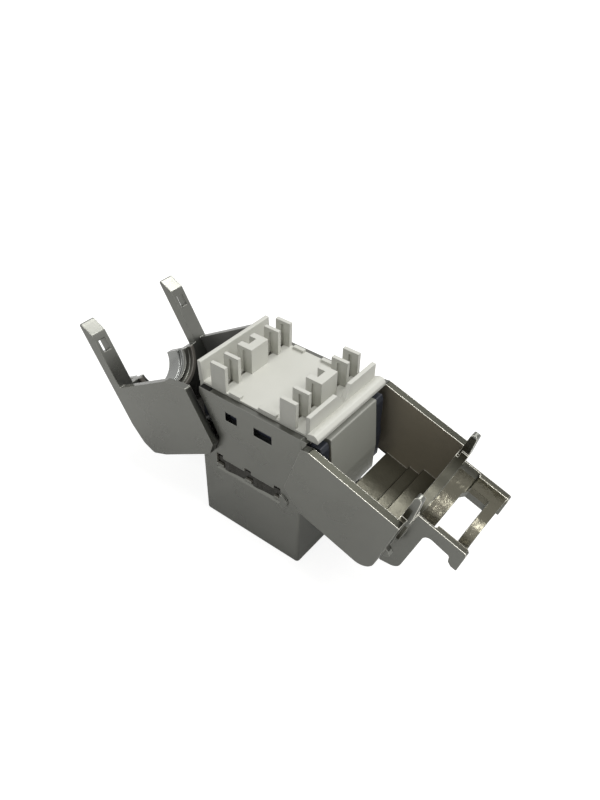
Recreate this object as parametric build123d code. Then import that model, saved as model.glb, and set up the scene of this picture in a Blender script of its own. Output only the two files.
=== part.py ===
from build123d import *
import math
import os

os.makedirs("parts", exist_ok=True)

# Keystone jack with two hinged wings, open, in millimetres.
# The jack stands on its nose: Z = 0 is the port face and +Z runs to the cable end.
# X = 0 and Y = 0 are the middle of the nose. The tie wing opens to +X, the cradle wing to -X.

# How far joined shapes run into one another
LAP = 0.1

# Plug port
PORT_HALF_Y = 5.92
PORT_BACK_X = -2.6
PORT_RISE = 6.8
PORT_X = (PORT_BACK_X, PORT_BACK_X + PORT_RISE)
KEY_HALF_Y = 3.1
KEY_RISE = 1.5
PORT_DEPTH = 12.0

# Nose, which is as wide as the port and the walls round it
INSERT_WALL = 0.28
INSERT_GAP = 0.1
WALL = 1.05
INSERT_HALF_Y = PORT_HALF_Y + INSERT_WALL
NOSE_HALF_Y = INSERT_HALF_Y + INSERT_GAP + WALL
NOSE_HALF_X = 8.05
NOSE_TOP = 10.0
NOSE_CORNER = 0.45
NOSE_EDGE = 0.3
FACE_T = 0.95

# Side plates of the shell
RIM_Z = 21.7
PLATE_T = 0.8
PLATE_IN = NOSE_HALF_Y - PLATE_T
WINDOW_DROP = 1.95
WINDOW_RISE = 1.31
WINDOW_Z = (RIM_Z - WINDOW_DROP - WINDOW_RISE, RIM_Z - WINDOW_DROP)
WINDOWS_X = ((-3.56, -1.68), (0.96, 3.78))

# Hinges
PIVOT_Z = 14.7
CRADLE_PIVOT_X = 1.05 - NOSE_HALF_X
TIE_PIVOT_X = NOSE_HALF_X + 0.29
LUG_R = 1.55
LUG_T = 0.95
LUG_IN = PLATE_IN - LUG_T
LUG_GAP = 0.15
BOSS_R = 0.9
BOSS_CLEAR = 0.05
BOSS_STEP = 0.1

# Wings: side plates, and the seam where the closed wings meet
WING_GAP = 0.11
WING_T = 1.0
WING_IN = NOSE_HALF_Y + WING_GAP
WING_OUT = WING_IN + WING_T
TIE_TILT = 17.75
CRADLE_TILT = 31.04
SEAM_X = 1.115
SEAM_GAP = 0.13
TIE_TOP = TIE_PIVOT_X - SEAM_X - SEAM_GAP / 2
CRADLE_TOP = SEAM_X - CRADLE_PIVOT_X - SEAM_GAP / 2
CATCH_X = 7.15

# Tie wing, from its pivot: x runs outwards and z up from the floor of the tray
TIE_FLOOR_Z = -3.11
TIE_FLOOR_T = 0.47
TIE_FLOOR_X = 3.99
TIE_HEEL = (-1.56, -1.04)
TIE_TOE_X = 1.54
TIE_CURL = 2.2
TIE_END = 12.28
END_WALL_T = 0.8
TIE_STEPS_X = (7.44, 9.14)
STEP_GAPS = (0.13, 0.28)
ARM_END = 19.6
ARM_FOOT_Z = -3.82
ARM_OUT = 5.5
ARM_T = 0.64
LIP_Z = 7.41
TROUGH_AXIS_Z = 8.96
TROUGH_R = 5.0
TROUGH_WIDE_R = 5.5
TROUGH_SHELL_R = 6.4
TROUGH_STEP_X = 15.14
TIE_WINDOW_X = 14.86
TIE_WINDOW_LENGTH = 2.97
TIE_WINDOW_HALF_Y = 4.0
TIE_COLLAR_R = 5.6
TIE_COLLAR_BACK = 0.44
TIE_COLLAR_T = 0.95
TIE_COLLAR_HALF_Y = 6.2
TIE_COLLAR_TOP = 8.06
EAR_Y = (5.75, 6.8)
EAR_TOP = 11.06
BUMP_HALF_Z = 0.72
BUMP_RISE = 0.88

# Cradle wing, from its pivot: x runs towards the jack and z up from the floor of the tray
CRADLE_FLOOR_Z = -2.71
CRADLE_FLOOR_X = -5.18
CRADLE_FRONT_X = 1.52
WEB_OUT = -14.49
WEB_GAP = 0.09
WEB_IN = -(TIE_END - TIE_COLLAR_BACK + TIE_COLLAR_T + WEB_GAP)
CRADLE_RIM = 7.8
CRADLE_AXIS_Z = 8.2
CRADLE_END = -17.48
CRADLE_R = 3.95
CRADLE_SHELL_T = 0.9
GROOVE_X = -14.88
GROOVE_W = 1.0
GROOVE_DEPTH = 0.4
MOUTH_STEP = 0.8
MOUTH_BACK = 0.3
MOUTH_RISE = 0.5
CRADLE_COLLAR_T = 0.6
PRONG_IN = 6.25
PRONG_TOP = 18.1
PRONG_MARGIN = 0.52
PRONG_WINDOW_HALF = 0.85

# Wire block
DECK_T = 1.05
DECK_OVER = 0.25
DECK_TOP = RIM_Z + DECK_OVER
DECK_X = (-NOSE_HALF_X - 0.25, NOSE_HALF_X + 0.7)
DECK_GAP = 0.05
DECK_HALF_Y = PLATE_IN - DECK_GAP
POST_RISE = 3.56
POST_TOP = DECK_TOP + POST_RISE
ROWS_AT = (DECK_X[0] + 1.94, DECK_X[1] - 4.44)
ROW_W = 2.3
POST_T = 0.55
POST_EDGE = 0.02
WIRE_GAPS = (1.96, 1.82)
OUTER_POST = DECK_HALF_Y - POST_EDGE - POST_T
POSTS_Y = (OUTER_POST - WIRE_GAPS[1] - POST_T, OUTER_POST)
U_HALF_Y = POSTS_Y[0] - WIRE_GAPS[0]
U_NOTCH_HALF_Y = 0.7
U_NOTCH_DEPTH = 1.1
WALL_RISE = 2.85
WALL_TOP = DECK_TOP + WALL_RISE
END_WALL_HALF_Y = DECK_HALF_Y + 0.15
NOTCH = (-1.46, 0.1, 1.29)
NOTCH_DEPTH = 1.9
LEDGE_HALF_Y = 7.0
LEDGE_X = DECK_X[1] + 1.45
LEDGE_RISE = 1.0
TAB_T = 0.6
TAB_RISE = 0.38

# Cover panel under the ledge, with a slight belly
PANEL_IN = DECK_X[1] + 0.6
PANEL_HALF_Y = PLATE_IN - 1.8
PANEL_Z = (NOSE_TOP + 0.1, RIM_Z - 0.5)
PANEL_T = 1.07
PANEL_BELLY = 0.62

# Carrier, board and port insert
BOARD_Z = 15.15
BOARD_T = 1.4
BOARD_TOP = BOARD_Z + BOARD_T
SEAT_GAP = 0.05
CARRIER_Z = BOARD_TOP + 0.1
CARRIER_TOP = DECK_TOP - DECK_T
CARRIER_GAP = 0.1
CARRIER_HALF_Y = PLATE_IN - CARRIER_GAP
SKIRT_T = 0.9
SKIRT_Z = NOSE_TOP + 0.15
INSERT_END_GAP = 0.15
INSERT_HALF_X = NOSE_HALF_X - WALL - INSERT_END_GAP
BOARD_X = (-INSERT_HALF_X, NOSE_HALF_X + 0.15)
CARRIER_X = (-INSERT_HALF_X - 0.25 - SKIRT_T, PANEL_IN)
INSERT_TOP = BOARD_Z - SEAT_GAP
INSERT_SHOULDER = PIVOT_Z - LUG_R - 0.25
NECK_HALF_Y = LUG_IN - LUG_GAP
CHAMBER_DEPTH = 2.7
CHAMBER_HALF_Y = 4.2
CHAMBER_Z = 1.9

# Contacts and blades
CONTACT_COUNT = 8
CONTACT_PITCH = 1.02
CONTACT_W = 0.46
CONTACT_T = 0.32
CONTACT_X = PORT_BACK_X - CHAMBER_DEPTH + 0.9
BLADE_T = 0.4
BLADE_W = 2.2
BLADE_TOP = DECK_TOP - 0.25
BLADE_FORK_Z = 18.2
BLADE_FORK_W = 0.32
BLADE_FOOT = (14.95, 17.2)
BLADE_FOOT_W = 0.6
SLOT_CLEAR = 0.06

# Slot in each side of the nose, with its ground spring
SLOT_Z = 9.55
SLOT_H = 1.85
SLOT_DEPTH = 0.5
SLOT_LIP = 0.35
SQUARES_X = (-5.5, -0.75, 4.05)
SQUARE_W = 1.1
SQUARE_RISE = 0.6
SPRING_T = 0.2
SPRING_GAP = 0.05
CRESCENT_R = 1.15
CRESCENT_PROUD = 0.2

# Latch and fixed catch
LATCH_PIVOT = (NOSE_HALF_X + 0.75, 3.75)
LATCH_PIN_R = 0.4
LATCH_HALF_Y = 2.3
LATCH_OUT_X = LATCH_PIVOT[0] + 2.0
CHEEK_GAP = 0.1
CHEEK_T = 0.6
CHEEK_R = 0.75
CATCH_HALF_Y = 3.5
CATCH_RISE = 1.2
CATCH_Z = (5.6, 9.2)
STOP_RISE = 0.7
STOP_Z = (1.9, 3.9)


def block(x0, x1, y0, y1, z0, z1):
    """Box between two corners."""
    size = Box(x1 - x0, y1 - y0, z1 - z0)
    return Pos((x0 + x1) / 2, (y0 + y1) / 2, (z0 + z1) / 2) * size


def wide(x0, x1, half_y, z0, z1):
    """Box that is centred on Y."""
    return block(x0, x1, -half_y, half_y, z0, z1)


def outlined(outline):
    """Face inside an outline. A point has a radius as its third value where it is rounded."""
    sketch = make_face(Polyline(*[(p[0], p[1]) for p in outline], close=True))
    for point in outline:
        if len(point) == 3:
            corner = sketch.vertices().sort_by_distance((point[0], point[1], 0))[0]
            sketch = fillet(corner, point[2])
    return sketch


def slab(outline, y0, y1):
    """Plate along Y with an outline in x and z."""
    return Pos(0, y1, 0) * extrude(Plane.XZ * outlined(outline), amount=y1 - y0)


def slab_x(outline, x0, x1):
    """Plate along X with an outline in y and z."""
    return Pos(x0, 0, 0) * extrude(Plane.YZ * outlined(outline), amount=x1 - x0)


def turned(outline, axis_z):
    """Turned solid along X above Y = 0, from an outline of x and radius."""
    return Pos(0, 0, axis_z) * revolve(outlined(outline), Axis.X)


def rod_y(x, z, radius, y0, y1):
    """Round bar along Y."""
    return Pos(x, (y0 + y1) / 2, z) * Rot(90, 0, 0) * Cylinder(radius, y1 - y0)


def both(part):
    """The part and its mirror image on the other side of Y = 0."""
    return part + mirror(part, about=Plane.XZ)


def strip(path, thickness):
    """Outline of a bent strip of constant thickness that follows a path."""
    left = []
    right = []
    for i, (x, z) in enumerate(path):
        before = path[max(i - 1, 0)]
        after = path[min(i + 1, len(path) - 1)]
        a = math.atan2(z - before[1], x - before[0]) if i else None
        b = math.atan2(after[1] - z, after[0] - x) if i < len(path) - 1 else None
        a = b if a is None else a
        b = a if b is None else b
        middle = (a + b) / 2
        reach = thickness / 2 / math.cos((b - a) / 2)
        dx = -math.sin(middle) * reach
        dz = math.cos(middle) * reach
        left.append((x + dx, z + dz))
        right.append((x - dx, z - dz))
    return left + right[::-1]


def port_shape(z0, z1):
    """Plug port with its key way."""
    key = wide(PORT_X[1] - LAP, PORT_X[1] + KEY_RISE, KEY_HALF_Y, z0, z1)
    return wide(*PORT_X, PORT_HALF_Y, z0, z1) + key


def make_slot():
    """Slot for the ground spring on the far side: square pits joined by bars, over a bevelled lip."""
    seat = NOSE_HALF_Y - SLOT_DEPTH
    out = NOSE_HALF_Y + LAP
    ends = (SQUARES_X[0], SQUARES_X[-1] + SQUARE_W)
    slot = block(*ends, seat, out, SLOT_Z, SLOT_Z + SLOT_H)
    for x in SQUARES_X:
        slot -= block(x, x + SQUARE_W, seat - LAP, out + LAP, SLOT_Z - LAP, SLOT_Z + SQUARE_RISE)
        slot += block(x, x + SQUARE_W, seat, out, SLOT_Z + SQUARE_RISE, SLOT_Z + SLOT_H + SQUARE_RISE)
    lip = [(seat + LAP, SLOT_Z + LAP), (NOSE_HALF_Y, SLOT_Z - SLOT_LIP), (out, SLOT_Z - SLOT_LIP), (out, SLOT_Z + LAP)]
    return slot + slab_x(lip, *ends)


def make_side():
    """Side plate on the far side with its windows, and the two hinge lugs with their bearings."""
    corner = NOSE_HALF_X - NOSE_CORNER
    waist = CRADLE_PIVOT_X + LUG_R + 0.7
    front = TIE_PIVOT_X + 0.26
    plate = [(-corner, NOSE_TOP - 1), (-corner, NOSE_TOP), (0.82 - corner, NOSE_TOP + 0.84), (waist - 0.57, PIVOT_Z - 1.44, 0.6)]
    plate += [(waist, PIVOT_Z + 0.3, 0.8), (DECK_X[0] + 0.53, RIM_Z - 0.86), (DECK_X[0] + 0.6, RIM_Z)]
    plate += [(DECK_X[1] - 0.69, RIM_Z), (front, PIVOT_Z + 2.3)]
    plate += [(front, PIVOT_Z - 1.7), (corner, NOSE_TOP + 0.6), (corner, NOSE_TOP - 1)]
    side = slab(plate, PLATE_IN, NOSE_HALF_Y)
    side += rod_y(TIE_PIVOT_X, PIVOT_Z, LUG_R, PLATE_IN, NOSE_HALF_Y)
    for x0, x1 in WINDOWS_X:
        side -= block(x0, x1, PLATE_IN - LAP, NOSE_HALF_Y + LAP, *WINDOW_Z)
    side -= rod_y(TIE_PIVOT_X, PIVOT_Z, BOSS_R + BOSS_CLEAR, PLATE_IN - LAP, NOSE_HALF_Y + LAP)
    lug = rod_y(CRADLE_PIVOT_X, PIVOT_Z, LUG_R, LUG_IN, PLATE_IN + LAP)
    lug += block(CRADLE_PIVOT_X, waist + 1.2, LUG_IN, PLATE_IN + LAP, PIVOT_Z - LUG_R, PIVOT_Z + LUG_R)
    side += lug
    return side - rod_y(CRADLE_PIVOT_X, PIVOT_Z, BOSS_R + BOSS_CLEAR, LUG_IN - LAP, PLATE_IN + 2 * LAP)


def make_shell():
    """Die-cast nose, side plates, hinge lugs, fixed catch and latch cheeks."""
    nose = wide(-NOSE_HALF_X, NOSE_HALF_X, NOSE_HALF_Y, 0, NOSE_TOP)
    nose = fillet(nose.edges().filter_by(Axis.Z), NOSE_CORNER)
    nose = fillet(nose.faces().sort_by(Axis.Z)[0].edges(), min(NOSE_EDGE, WALL / 2))
    inner_x = NOSE_HALF_X - WALL
    nose -= wide(-inner_x, inner_x, NOSE_HALF_Y - WALL, FACE_T, NOSE_TOP + LAP)
    shell = nose + both(make_side()) - both(make_slot())
    shell -= port_shape(-LAP, FACE_T + LAP)
    end_x = SQUARES_X[-1] + SQUARE_W
    crescent = rod_y(end_x, SLOT_Z + 0.5, CRESCENT_R, NOSE_HALF_Y - LAP, NOSE_HALF_Y + CRESCENT_PROUD)
    crescent &= block(end_x, end_x + 2 * CRESCENT_R, 0, 2 * NOSE_HALF_Y, 0, PIVOT_Z)
    shell += both(crescent)
    back = -NOSE_HALF_X
    catch = [(back + LAP, CATCH_Z[0]), (back - CATCH_RISE, CATCH_Z[0] + 1.3, 0.3)]
    catch += [(back - CATCH_RISE, CATCH_Z[1], 0.3), (back + LAP, CATCH_Z[1])]
    shell += slab(catch, -CATCH_HALF_Y, CATCH_HALF_Y)
    stop = [(back + LAP, STOP_Z[0]), (back - STOP_RISE, STOP_Z[0] + 0.3, 0.2)]
    stop += [(back - STOP_RISE, STOP_Z[1] - 0.7, 0.2), (back + LAP, STOP_Z[1])]
    shell += slab(stop, -CATCH_HALF_Y, CATCH_HALF_Y)
    x, z = LATCH_PIVOT
    cheek = [(NOSE_HALF_X - LAP, z - CHEEK_R), (x + CHEEK_R, z - CHEEK_R, 0.5), (x + CHEEK_R, z + CHEEK_R, 0.5)]
    cheek += [(NOSE_HALF_X - LAP, z + CHEEK_R + 0.6)]
    cheek_in = LATCH_HALF_Y + CHEEK_GAP
    cheeks = slab(cheek, cheek_in, cheek_in + CHEEK_T)
    cheeks -= rod_y(x, z, LATCH_PIN_R + BOSS_CLEAR, cheek_in - LAP, cheek_in + CHEEK_T + LAP)
    return shell + both(cheeks)


def make_tray():
    """Tray of the tie wing: side plates, stepped floor and end wall."""
    side = [TIE_HEEL, (TIE_HEEL[0], TIE_TOP - 0.5, 0.3), (TIE_HEEL[0] + 1, TIE_TOP, 0.3), (TIE_END, TIE_TOP)]
    curl = (TIE_END, TIE_FLOOR_Z, TIE_CURL)
    side += [curl, (TIE_TOE_X, TIE_FLOOR_Z, 0.5)]
    floor_top = TIE_FLOOR_Z + TIE_FLOOR_T
    step_1 = TIE_PIVOT_X - LEDGE_X - STEP_GAPS[0]
    step_2 = TIE_PIVOT_X - DECK_X[1] - STEP_GAPS[1]
    x1, x2 = TIE_STEPS_X
    floor = [(TIE_FLOOR_X, TIE_FLOOR_Z), (TIE_FLOOR_X, floor_top), (x1, floor_top), (x1, step_1, 0.15)]
    floor += [(x2, step_1), (x2, step_2, 0.15), (TIE_END - LAP, step_2), (TIE_END, step_2), curl]
    tray = both(slab(side, WING_IN, WING_OUT)) + slab(floor, -WING_IN - LAP, WING_IN + LAP)
    return tray + wide(TIE_END - END_WALL_T, TIE_END, WING_IN + LAP, step_2 - LAP, TIE_TOP)


def make_arms():
    """Two arms of the tie wing with the cable trough between them."""
    root = TIE_END - 2 * LAP
    arm = [(root, ARM_FOOT_Z + 0.45), (TIE_END - LAP, ARM_FOOT_Z, 0.2), (14.56, ARM_FOOT_Z + 1.03, 1.6)]
    arm += [(14.7, 5.62, 0.9), (ARM_END - 1.54, 5.33, 0.3), (ARM_END - 1.3, 4.5, 0.3), (ARM_END - 0.75, 4.1, 0.3)]
    arm += [(ARM_END, 4.1, 0.15), (ARM_END - 0.2, LIP_Z, 0.3), (root, LIP_Z)]
    arms = both(slab(arm, ARM_OUT - ARM_T, ARM_OUT))
    shell = [(root, 0), (root, TROUGH_SHELL_R), (ARM_END - 0.4, TROUGH_SHELL_R, 0.3), (ARM_END - 0.4, 0)]
    return arms + (turned(shell, TROUGH_AXIS_Z) & wide(root, ARM_END, ARM_OUT, TIE_FLOOR_Z, LIP_Z))


def make_tie_wing():
    """Tray with arms, cable trough and tie window, collar, ears and catch bumps."""
    wing = make_tray() + make_arms()
    collar_x = TIE_END - TIE_COLLAR_BACK
    collar_end = collar_x + TIE_COLLAR_T
    wing += wide(collar_x, collar_end, TIE_COLLAR_HALF_Y, TROUGH_AXIS_Z - TROUGH_SHELL_R, TIE_COLLAR_TOP)
    wall_x = TIE_END - END_WALL_T - LAP
    bore = [(wall_x, 0), (wall_x, TIE_COLLAR_R), (collar_end, TIE_COLLAR_R), (collar_end, TROUGH_WIDE_R)]
    bore += [(TROUGH_STEP_X, TROUGH_WIDE_R, 0.2), (TROUGH_STEP_X, TROUGH_R, 0.2), (ARM_END + 1, TROUGH_R), (ARM_END + 1, 0)]
    wing -= turned(bore, TROUGH_AXIS_Z)
    length = TIE_WINDOW_LENGTH
    window = Rectangle(length, 2 * TIE_WINDOW_HALF_Y)
    window = chamfer(window.vertices().group_by(Axis.X)[0], 0.45)
    wing -= Pos(TIE_WINDOW_X + length / 2, 0, 0) * extrude(window, amount=LIP_Z)
    ear = [(TIE_END - 0.74, TIE_TOP - LAP), (TIE_END - 0.7, EAR_TOP - 0.1, 0.4), (TIE_END + 0.15, EAR_TOP, 0.4)]
    ear += [(TIE_END + 0.46, TIE_TOP + 0.8), (TIE_END + 0.46, TIE_TOP - 1), (TIE_END - 0.74, TIE_TOP - 1)]
    front = [(EAR_Y[0], TIE_TOP - 2), (EAR_Y[0], EAR_TOP, 0.35), (EAR_Y[1], EAR_TOP, 0.35), (EAR_Y[1], TIE_TOP - 2)]
    wing += both(slab(ear, *EAR_Y) & slab_x(front, TIE_END - 2, TIE_END + 2))
    z = TIE_PIVOT_X - CATCH_X
    bump = [(TIE_END - LAP, z - BUMP_HALF_Z), (TIE_END + BUMP_RISE / 2, z - BUMP_HALF_Z + 0.2, 0.3)]
    bump += [(TIE_END + BUMP_RISE, z, 0.2), (TIE_END + BUMP_RISE / 2, z + BUMP_HALF_Z - 0.2, 0.3)]
    bump += [(TIE_END - LAP, z + BUMP_HALF_Z)]
    margin = PRONG_MARGIN + 0.18
    wing += both(slab(bump, PRONG_IN + margin, WING_OUT - margin))
    wing += both(rod_y(0, 0, BOSS_R, PLATE_IN + BOSS_STEP, WING_IN + LAP))
    return Pos(TIE_PIVOT_X, 0, PIVOT_Z) * Rot(0, TIE_TILT, 0) * wing


def make_cradle():
    """Round cable cradle of the cradle wing and the bore that is cut in it."""
    shell_r = CRADLE_R + CRADLE_SHELL_T
    mouth_r = CRADLE_R + MOUTH_STEP
    mouth_x = WEB_IN - MOUTH_BACK
    end = WEB_IN + MOUTH_RISE
    solid = [(CRADLE_END, 0), (CRADLE_END, shell_r, 0.2), (mouth_x, shell_r), (mouth_x, mouth_r + CRADLE_COLLAR_T)]
    solid += [(end, mouth_r + CRADLE_COLLAR_T, 0.15), (end, 0)]
    groove = CRADLE_R + GROOVE_DEPTH
    bore = [(CRADLE_END - 1, 0), (CRADLE_END - 1, CRADLE_R), (GROOVE_X, CRADLE_R, 0.2), (GROOVE_X, groove, 0.15)]
    bore += [(GROOVE_X + GROOVE_W, groove, 0.15), (GROOVE_X + GROOVE_W, CRADLE_R, 0.15), (mouth_x, CRADLE_R, 0.1)]
    bore += [(mouth_x, mouth_r), (end + 1, mouth_r), (end + 1, 0)]
    return turned(solid, CRADLE_AXIS_Z), turned(bore, CRADLE_AXIS_Z)


def make_cradle_wing():
    """Tray with side plates, floor, end web with a half-round cable cradle, and two prongs."""
    curl = [(WEB_OUT, 2.35), (WEB_OUT + 0.57, -0.66, 1.5), (WEB_OUT + 1.74, -2.34, 0.8), (WEB_OUT + 4.41, CRADLE_FLOOR_Z)]
    side = [(CRADLE_FRONT_X, -1.4), (CRADLE_FRONT_X, CRADLE_TOP - 1.35, 0.3), (-1.91, CRADLE_TOP, 0.5)]
    side += [(WEB_OUT, CRADLE_TOP - 0.05)] + curl + [(0, CRADLE_FLOOR_Z, 0.3)]
    wing = both(slab(side, WING_IN, WING_OUT))
    floor_top = DECK_X[0] - CRADLE_PIVOT_X - 0.5
    web = [(WEB_OUT, CRADLE_RIM)] + curl + [(CRADLE_FLOOR_X, CRADLE_FLOOR_Z), (CRADLE_FLOOR_X, floor_top)]
    web += [(WEB_IN + 1.7, floor_top, 0.6), (WEB_IN, floor_top + 2, 0.6), (WEB_IN, CRADLE_RIM)]
    wing += slab(web, -WING_IN - LAP, WING_IN + LAP)
    solid, bore = make_cradle()
    wing += solid
    wing -= wide(CRADLE_END - 1, 0, WING_IN - LAP, CRADLE_RIM, CRADLE_RIM + 10)
    wing -= bore
    prong = [(WEB_OUT + LAP, CRADLE_RIM - 1), (WEB_OUT, CRADLE_RIM), (WEB_OUT, PRONG_TOP - 0.4)]
    prong += [(WEB_OUT + 0.31, PRONG_TOP, 0.2), (WEB_OUT + 0.66, PRONG_TOP - 0.7), (WEB_IN, PRONG_TOP - 2.1, 0.3)]
    prong += [(WEB_IN, CRADLE_RIM - 1)]
    front = [(PRONG_IN, CRADLE_RIM - 2), (PRONG_IN, PRONG_TOP, 0.4), (WING_OUT, PRONG_TOP, 0.4), (WING_OUT, CRADLE_RIM - 2)]
    arm = slab(prong, PRONG_IN, WING_OUT) & slab_x(front, WEB_OUT - 1, WEB_IN + 1)
    z = CATCH_X - CRADLE_PIVOT_X
    window_y = (PRONG_IN + PRONG_MARGIN, WING_OUT - PRONG_MARGIN)
    arm -= block(WEB_OUT - 1, WEB_IN + 1, *window_y, z - PRONG_WINDOW_HALF, z + PRONG_WINDOW_HALF)
    wing += both(arm)
    wing += both(rod_y(0, 0, BOSS_R, LUG_IN + BOSS_STEP, WING_IN + LAP))
    return Pos(CRADLE_PIVOT_X, 0, PIVOT_Z) * Rot(0, -CRADLE_TILT, 0) * wing


def blade_places():
    """Row centre and gap centre of each blade."""
    inner = (U_HALF_Y + POSTS_Y[0]) / 2
    outer = (POSTS_Y[0] + POST_T + POSTS_Y[1]) / 2
    return [(x + ROW_W / 2, y) for x in ROWS_AT for y in (-outer, -inner, inner, outer)]


def blade_slots(width, z0, z1):
    """Slots for all the blades, for a stated width of blade."""
    half_t = BLADE_T / 2 + SLOT_CLEAR
    half_w = width / 2 + SLOT_CLEAR
    return [block(x - half_t, x + half_t, y - half_w, y + half_w, z0, z1) for x, y in blade_places()]


def make_wire_block():
    """White deck with two rows of posts, a leaning wall, a notched wall and a beaded ledge."""
    top = DECK_TOP
    under = top - LAP
    deck = wide(*DECK_X, DECK_HALF_Y, top - DECK_T, top)
    for x0 in ROWS_AT:
        x1 = x0 + ROW_W
        for y in POSTS_Y:
            deck += both(block(x0, x1, y, y + POST_T, under, POST_TOP))
        deck += wide(x0, x1, U_HALF_Y, under, POST_TOP)
        deck -= wide(x0 - LAP, x0 + U_NOTCH_DEPTH, U_NOTCH_HALF_Y, top + 1.2, POST_TOP + 1)
    x = DECK_X[0]
    lean = [(x - 0.1, under), (x + 0.51, under), (x + 0.28, WALL_TOP - 0.1), (x + 0.18, WALL_TOP), (x - 0.25, WALL_TOP)]
    deck += slab(lean, -DECK_HALF_Y, DECK_HALF_Y)
    half = END_WALL_HALF_Y
    wall = [(-half, under), (-half, WALL_TOP), (NOTCH[0], WALL_TOP), (NOTCH[1], WALL_TOP - NOTCH_DEPTH)]
    wall += [(NOTCH[2], WALL_TOP), (half, WALL_TOP), (half, under)]
    deck += slab_x(wall, DECK_X[1] - POST_T, DECK_X[1])
    ledge = [(DECK_X[1] - LAP, top), (LEDGE_X, top, 0.1), (LEDGE_X, top + 0.55, 0.4), (LEDGE_X - 0.45, top + LEDGE_RISE, 0.35)]
    ledge += [(LEDGE_X - 0.95, top + LEDGE_RISE, 0.3), (DECK_X[1] - LAP, top + LEDGE_RISE - 0.25)]
    deck += slab(ledge, -LEDGE_HALF_Y, LEDGE_HALF_Y)
    for x0, x1 in WINDOWS_X:
        deck += both(block(x0 + LAP, x1 - LAP, DECK_HALF_Y - TAB_T, DECK_HALF_Y, under, top + TAB_RISE))
    return deck - blade_slots(BLADE_W, top - DECK_T - LAP, POST_TOP - 0.5)


def make_panel():
    """Cover panel with a slight belly and a foot that turns in over the nose."""
    out = PANEL_IN + PANEL_T
    belly = out + PANEL_BELLY
    outline = [(PANEL_IN, PANEL_Z[0]), (belly - 0.16, PANEL_Z[0], 0.3), (belly - 0.16, PANEL_Z[0] + 2.3, 1.5)]
    outline += [(belly, PANEL_Z[0] + 4, 3.0), (out, PANEL_Z[1], 0.2), (PANEL_IN, PANEL_Z[1])]
    return slab(outline, -PANEL_HALF_Y, PANEL_HALF_Y)


def make_carrier():
    """Dark block between the side plates that holds the blades, with a skirt on each end."""
    x0, x1 = CARRIER_X
    body = wide(x0, x1, CARRIER_HALF_Y, CARRIER_Z, CARRIER_TOP)
    body += wide(x1 - SKIRT_T, x1, CARRIER_HALF_Y, SKIRT_Z, CARRIER_TOP)
    body += wide(x0, x0 + SKIRT_T, NECK_HALF_Y, SKIRT_Z, CARRIER_TOP)
    inner = (ROWS_AT[0] + ROW_W + 0.9, ROWS_AT[1] - 0.8)
    body -= wide(*inner, CARRIER_HALF_Y - 1.2, CARRIER_Z - LAP, CARRIER_TOP - 1.2)
    return body - blade_slots(BLADE_W, CARRIER_Z - LAP, CARRIER_TOP + LAP)


def make_blade(x, y):
    """Forked blade on its foot in the board."""
    half = BLADE_W / 2
    fork = BLADE_FORK_W / 2
    foot = BLADE_FOOT_W / 2
    right = [(foot, BLADE_FOOT[0]), (foot, BLADE_FOOT[1]), (half, BLADE_FOOT[1]), (half, BLADE_TOP)]
    right += [(half - 0.5, BLADE_TOP), (fork, BLADE_TOP - 0.8), (fork, BLADE_FORK_Z)]
    left = [(-p[0], p[1]) for p in reversed(right)]
    face = make_face(Polyline(*(right + left), close=True))
    return Pos(x - BLADE_T / 2, y, 0) * extrude(Plane.YZ * face, amount=BLADE_T)


def contact_places():
    """Y of each port contact."""
    first = -CONTACT_PITCH * (CONTACT_COUNT - 1) / 2
    return [first + i * CONTACT_PITCH for i in range(CONTACT_COUNT)]


def contact_slots(z0, z1):
    """Slots for all the port contacts."""
    half = CONTACT_T / 2 + SLOT_CLEAR
    half_w = CONTACT_W / 2 + SLOT_CLEAR
    return [block(CONTACT_X - half, CONTACT_X + half, y - half_w, y + half_w, z0, z1) for y in contact_places()]


def make_contact(y):
    """Bent strip from the board down the chamber and back into the port."""
    low = CHAMBER_Z + 0.8
    path = [(CONTACT_X, BOARD_TOP + SEAT_GAP), (CONTACT_X, low + 0.5), (CONTACT_X + 0.5, low)]
    path += [(CONTACT_X + 1, low + 0.4), (PORT_BACK_X + 0.85, low + 6.6), (PORT_BACK_X + 0.3, low + 7.9)]
    return slab(strip(path, CONTACT_T), y - CONTACT_W / 2, y + CONTACT_W / 2)


def make_board():
    """Circuit board with a hole for each contact and each blade foot."""
    board = wide(*BOARD_X, NECK_HALF_Y, BOARD_Z, BOARD_TOP)
    board -= blade_slots(BLADE_FOOT_W, BOARD_Z - LAP, BOARD_TOP + LAP)
    return board - contact_slots(BOARD_Z - LAP, BOARD_TOP + LAP)


def make_insert():
    """Dark insert in the nose with the plug pocket and the contact chamber."""
    insert = wide(-INSERT_HALF_X, INSERT_HALF_X, INSERT_HALF_Y, FACE_T, INSERT_SHOULDER)
    insert += wide(-INSERT_HALF_X, INSERT_HALF_X, NECK_HALF_Y, FACE_T, INSERT_TOP)
    insert -= port_shape(FACE_T - LAP, PORT_DEPTH)
    insert -= wide(PORT_BACK_X - CHAMBER_DEPTH, PORT_BACK_X + LAP, CHAMBER_HALF_Y, CHAMBER_Z, INSERT_SHOULDER)
    insert -= contact_slots(INSERT_SHOULDER - LAP, INSERT_TOP + LAP)
    return insert - blade_slots(BLADE_FOOT_W, BLADE_FOOT[0] - LAP, INSERT_TOP + LAP)


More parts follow.
